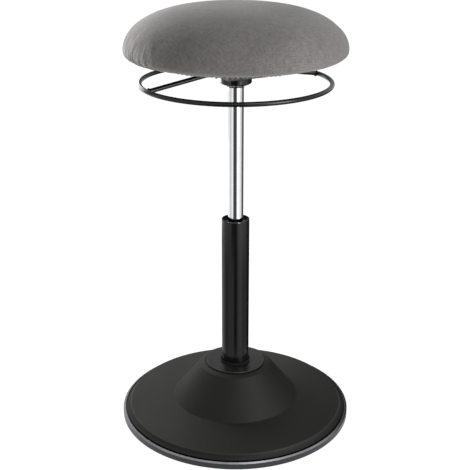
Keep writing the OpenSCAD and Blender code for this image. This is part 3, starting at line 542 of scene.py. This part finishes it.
def spun(name, stations, turns):
    """A closed sphere with its rings moved onto an outline, and each vertex's place along it."""
    bpy.ops.object.select_all(action="DESELECT")
    rings = len(stations) - 1
    bpy.ops.mesh.primitive_uv_sphere_add(segments=turns, ring_count=rings, radius=1)
    piece = bpy.context.object
    piece.name = name
    from_top = [0.0]
    for (r0, z0), (r1, z1) in zip(stations[::-1], stations[-2::-1]):
        from_top.append(from_top[-1] + math.hypot(r1 - r0, z1 - z0))
    places = []
    for v in piece.data.vertices:
        down = round(math.acos(max(-1.0, min(1.0, v.co.z))) * rings / math.pi)
        turn = math.atan2(v.co.y, v.co.x)
        r, z = stations[rings - down]
        v.co = (r * math.cos(turn), r * math.sin(turn), z)
        places.append((turn, from_top[down]))
    return piece, places, from_top


# The foam in its cover swells under its own tension: a smaller start shape is blown up as
# cloth, held where it lies on the pan, and its rise is limited to what the foam fills.
swell, kept = 0.004, 0.6
foam_floor_z, foam_flat_r, held_below_z = 0.6815, 0.09, 0.6835
foam_shape = None
outline = [(0, foam_floor_z), (foam_flat_r, foam_floor_z)]
outline += [under_point(i / 7, swell) for i in range(7)]
outline += [crown_point(i / 22, swell) for i in range(23)]
foam_shape = spun("foam_shape", outline, 128)[0]
remesh = foam_shape.modifiers.new("even", "REMESH")
remesh.mode = "VOXEL"
remesh.voxel_size = 0.005
bpy.ops.object.modifier_apply(modifier="even")
held = foam_shape.vertex_groups.new(name="held")
held.add([v.index for v in foam_shape.data.vertices if v.co.z < held_below_z], 1, "REPLACE")
start = [v.co.copy() for v in foam_shape.data.vertices]
cloth = foam_shape.modifiers.new("swell", "CLOTH")
cloth.settings.use_pressure = True
cloth.settings.uniform_pressure_force = 4
cloth.settings.vertex_group_mass = "held"
cloth.settings.effector_weights.gravity = 0
for step in range(1, 21):
    bpy.context.scene.frame_set(step)
bpy.ops.object.modifier_apply(modifier="swell")
bpy.context.scene.frame_set(1)
for v, at in zip(foam_shape.data.vertices, start):
    move = v.co - at
    if move.length > swell:
        v.co = at + move * (swell / move.length)

# The cover's cut, from the middle of the pan under the foam, round the pan's rim and the elastic
# in the hem, out to the widest round and up to the crown.
outline = [(0, 0.6864), (0.08, 0.6864), (0.161, 0.6864), (0.1665, 0.6924), (0.1726, 0.6924),
           (0.1726, 0.6845), (0.169, 0.6812), (0.158, 0.6774), (0.150, 0.6759), (0.1462, 0.6761),
           (0.1445, 0.6752), (0.1447, 0.6738)]
hem_station = len(outline)
outline += [under_point(i / 20) for i in range(20)]
outline += [crown_point(i / 30) for i in range(30)]
outline.append((0, seat_mid_z + crown_h))
seat_cloth, places, from_top = spun("seat_cloth", outline, segments)
hem_along = from_top[len(outline) - 1 - hem_station]
uv = seat_cloth.data.uv_layers[0].data
for loop in seat_cloth.data.loops:
    turn, far = places[loop.vertex_index]
    uv[loop.index].uv = (0.5 + far * math.cos(turn), 0.5 + far * math.sin(turn))

if foam_shape:
    cut = [v.co.copy() for v in seat_cloth.data.vertices]
    tight_by_hem, loosens_over = 0.012, 0.03
    loose = seat_cloth.vertex_groups.new(name="loose")
    for v in seat_cloth.data.vertices:
        back = hem_along - places[v.index][1]
        if back > tight_by_hem:
            loose.add([v.index], min(1.0, (back - tight_by_hem) / loosens_over), "REPLACE")
    wrap = seat_cloth.modifiers.new("drawn", "SHRINKWRAP")
    wrap.target = foam_shape
    wrap.wrap_method = "TARGET_PROJECT"
    wrap.vertex_group = "loose"
    bpy.context.view_layer.objects.active = seat_cloth
    bpy.ops.object.modifier_apply(modifier="drawn")
    smooth = seat_cloth.modifiers.new("even", "SMOOTH")
    smooth.factor = 0.5
    smooth.iterations = 6
    smooth.vertex_group = "loose"
    bpy.ops.object.modifier_apply(modifier="even")
    bpy.data.objects.remove(foam_shape)
    # The cover's own cut sets how far each round of cloth reaches, so only what the swelling
    # does unevenly along a round is kept.
    rounds = {}
    for v, at, (turn, far) in zip(seat_cloth.data.vertices, cut, places):
        out = Vector((math.cos(turn), math.sin(turn), 0))
        rounds.setdefault(far, []).append((v, at, out, (v.co - at).dot(out), v.co.z - at.z))
    for cloth_round in rounds.values():
        mean_out = sum(row[3] for row in cloth_round) / len(cloth_round)
        mean_up = sum(row[4] for row in cloth_round) / len(cloth_round)
        for v, at, out, along, up in cloth_round:
            v.co = at + out * (along - mean_out) * kept + Vector((0, 0, (up - mean_up) * kept))


def near(turn, middle, spread):
    """1 at the middle angle, falling to 0 over the spread, all in degrees."""
    off = (math.degrees(turn) - middle + 180) % 360 - 180
    return math.exp(-((off / spread) ** 2))


# The gathers: small ripples and scallops all round the hem, a diagonal roll of the cloth over the
# elastic, longer puckers at two places and a hem that sags a little in front. They stand this
# high and reach this far from the hem, in metres, and lie at these angles, in degrees.
ripple_high, ripple_reach = 0.0011, 0.014
roll_high, roll_reach = 0.0008, 0.006
puckers = ((0.0036, 178, 19, 0.044), (0.0008, 292, 9, 0.045))
scallop_low, sag_low, hang_reach = 0.00025, 0.0002, 0.007
droop_low, droop_at, droop_spread = 0.0016, 232, 26
seat_cloth.data.update()
facing = [v.normal.copy() for v in seat_cloth.data.vertices]
for v in seat_cloth.data.vertices:
    turn, far = places[v.index]
    back = abs(hem_along - far)
    drift = noise.noise(Vector((3 * math.cos(turn), 3 * math.sin(turn), 0)))
    wave = math.cos(folds * turn + 2.4 * drift)
    slow = math.cos(folds / 2 * turn + 5 * drift)
    stray = noise.noise(Vector((9 * math.cos(turn), 9 * math.sin(turn), 60 * far)))
    pinch = 2 * abs(math.sin(folds / 2 * turn + 3 * drift + 2.2 * stray)) - 1
    uneven = 1 + 0.6 * noise.noise(Vector((20 * math.cos(turn), 20 * math.sin(turn), 5)))
    ripple = ripple_high * math.exp(-((back / ripple_reach) ** 2))
    pucker = 0
    for high, at, spread, reach in puckers:
        pucker += high * near(turn, at, spread) * math.exp(-((back / reach) ** 2))
    outside = 1 if far <= hem_along + 0.004 else 0
    roll = roll_high * math.cos(0.9 * folds * turn + 450 * (far - hem_along) + 3 * drift)
    roll *= math.exp(-((back / roll_reach) ** 2))
    v.co += facing[v.index] * (
        ripple * wave + pucker * (0.6 * pinch + 0.5 * slow) + roll) * uneven * outside
    hang = math.exp(-((back / hang_reach) ** 2)) * outside
    droop = droop_low * near(turn, droop_at, droop_spread)
    v.co.z -= hang * (scallop_low * (1 + wave) * uneven + sag_low * (1 + slow) * uneven + droop)
seat_cloth.data.shade_smooth()

# Plain weave of melange yarn: threads go over and under in turn, each with its own slubs.
weave = bpy.data.node_groups.new("plain_weave", "ShaderNodeTree")
weave.interface.new_socket("Cloth", in_out="INPUT", socket_type="NodeSocketVector")
weave.interface.new_socket("Threads", in_out="INPUT", socket_type="NodeSocketFloat")
for name in ("Height", "Yarn"):
    weave.interface.new_socket(name, in_out="OUTPUT", socket_type="NodeSocketFloat")
into = weave.nodes.new("NodeGroupInput")
out = weave.nodes.new("NodeGroupOutput")


def step(operation, *values):
    """One sum in the weave's pattern, of numbers or other steps."""
    node = weave.nodes.new("ShaderNodeMath")
    node.operation = operation
    for i, value in enumerate(values):
        if isinstance(value, (int, float)):
            node.inputs[i].default_value = value
        else:
            weave.links.new(value, node.inputs[i])
    return node.outputs[0]


apart = weave.nodes.new("ShaderNodeSeparateXYZ")
weave.links.new(into.outputs["Cloth"], apart.inputs[0])
across = step("MULTIPLY", apart.outputs["X"], into.outputs["Threads"])
down = step("MULTIPLY", apart.outputs["Y"], into.outputs["Threads"])
warp = step("ABSOLUTE", step("SINE", step("MULTIPLY", across, math.pi)))
weft = step("ABSOLUTE", step("SINE", step("MULTIPLY", down, math.pi)))
over = step("PINGPONG", step("ADD", step("FLOOR", across), step("FLOOR", down)), 1)
under = step("SUBTRACT", 1, over)
height = step("ADD", step("MULTIPLY", warp, over), step("MULTIPLY", weft, under))
weave.links.new(height, out.inputs["Height"])
slubs = []
for stretch, on_top in (((0.12, 1, 1), over), ((1, 0.12, 1), under)):
    turned = weave.nodes.new("ShaderNodeMapping")
    turned.inputs["Scale"].default_value = stretch
    weave.links.new(into.outputs["Cloth"], turned.inputs["Vector"])
    slub = weave.nodes.new("ShaderNodeTexNoise")
    slub.inputs["Detail"].default_value = 2
    weave.links.new(into.outputs["Threads"], slub.inputs["Scale"])
    weave.links.new(turned.outputs[0], slub.inputs["Vector"])
    slubs.append(step("MULTIPLY", slub.outputs["Fac"], on_top))
weave.links.new(step("ADD", *slubs), out.inputs["Yarn"])

grey_weave = bpy.data.materials.new("grey_weave")
grey_weave.use_nodes = True
tree = grey_weave.node_tree
shader = tree.nodes["Principled BSDF"]
shader.inputs["Specular IOR Level"].default_value = 0.2
shader.inputs["Sheen Weight"].default_value = 0.35
shader.inputs["Sheen Roughness"].default_value = 0.5
place = tree.nodes.new("ShaderNodeTexCoord")
woven = tree.nodes.new("ShaderNodeGroup")
woven.node_tree = weave
woven.inputs["Threads"].default_value = 620
tree.links.new(place.outputs["UV"], woven.inputs["Cloth"])
fibres = tree.nodes.new("ShaderNodeGroup")
fibres.node_tree = speckle
fibres.inputs["Grain Scale"].default_value = 420
fibres.inputs["Patch Scale"].default_value = 14
tree.links.new(place.outputs["Object"], fibres.inputs["Place"])
yarn = tree.nodes.new("ShaderNodeMapRange")
yarn.inputs["From Min"].default_value = 0.3
yarn.inputs["From Max"].default_value = 0.7
tree.links.new(woven.outputs["Yarn"], yarn.inputs["Value"])
melange = tree.nodes.new("ShaderNodeMix")
melange.data_type = "RGBA"
melange.inputs["A"].default_value = (0.14, 0.131, 0.128, 1)
melange.inputs["B"].default_value = (0.32, 0.303, 0.297, 1)
tree.links.new(yarn.outputs["Result"], melange.inputs["Factor"])
worn = tree.nodes.new("ShaderNodeMix")
worn.data_type = "RGBA"
worn.blend_type = "MULTIPLY"
worn.inputs["Factor"].default_value = 0.25
tree.links.new(melange.outputs["Result"], worn.inputs["A"])
tree.links.new(fibres.outputs["Tone"], worn.inputs["B"])
tree.links.new(worn.outputs["Result"], shader.inputs["Base Color"])
rough = tree.nodes.new("ShaderNodeMapRange")
rough.inputs["To Min"].default_value = 0.82
rough.inputs["To Max"].default_value = 0.95
tree.links.new(woven.outputs["Height"], rough.inputs["Value"])
tree.links.new(rough.outputs["Result"], shader.inputs["Roughness"])
raised = tree.nodes.new("ShaderNodeBump")
raised.inputs["Strength"].default_value = 0.5
raised.inputs["Distance"].default_value = 0.0004
tree.links.new(woven.outputs["Height"], raised.inputs["Height"])
tree.links.new(raised.outputs["Normal"], shader.inputs["Normal"])
seat_cloth.data.materials.clear()
seat_cloth.data.materials.append(grey_weave)
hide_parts("seat_cover", "seat_cushion", "hem_cord")
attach(seat_cloth, "seat")

# The two boxes: the carried-over parts' and everything shown.
low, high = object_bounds()
{"cad": [list(cad_low), list(cad_high)], "looks": [list(low), list(high)]}
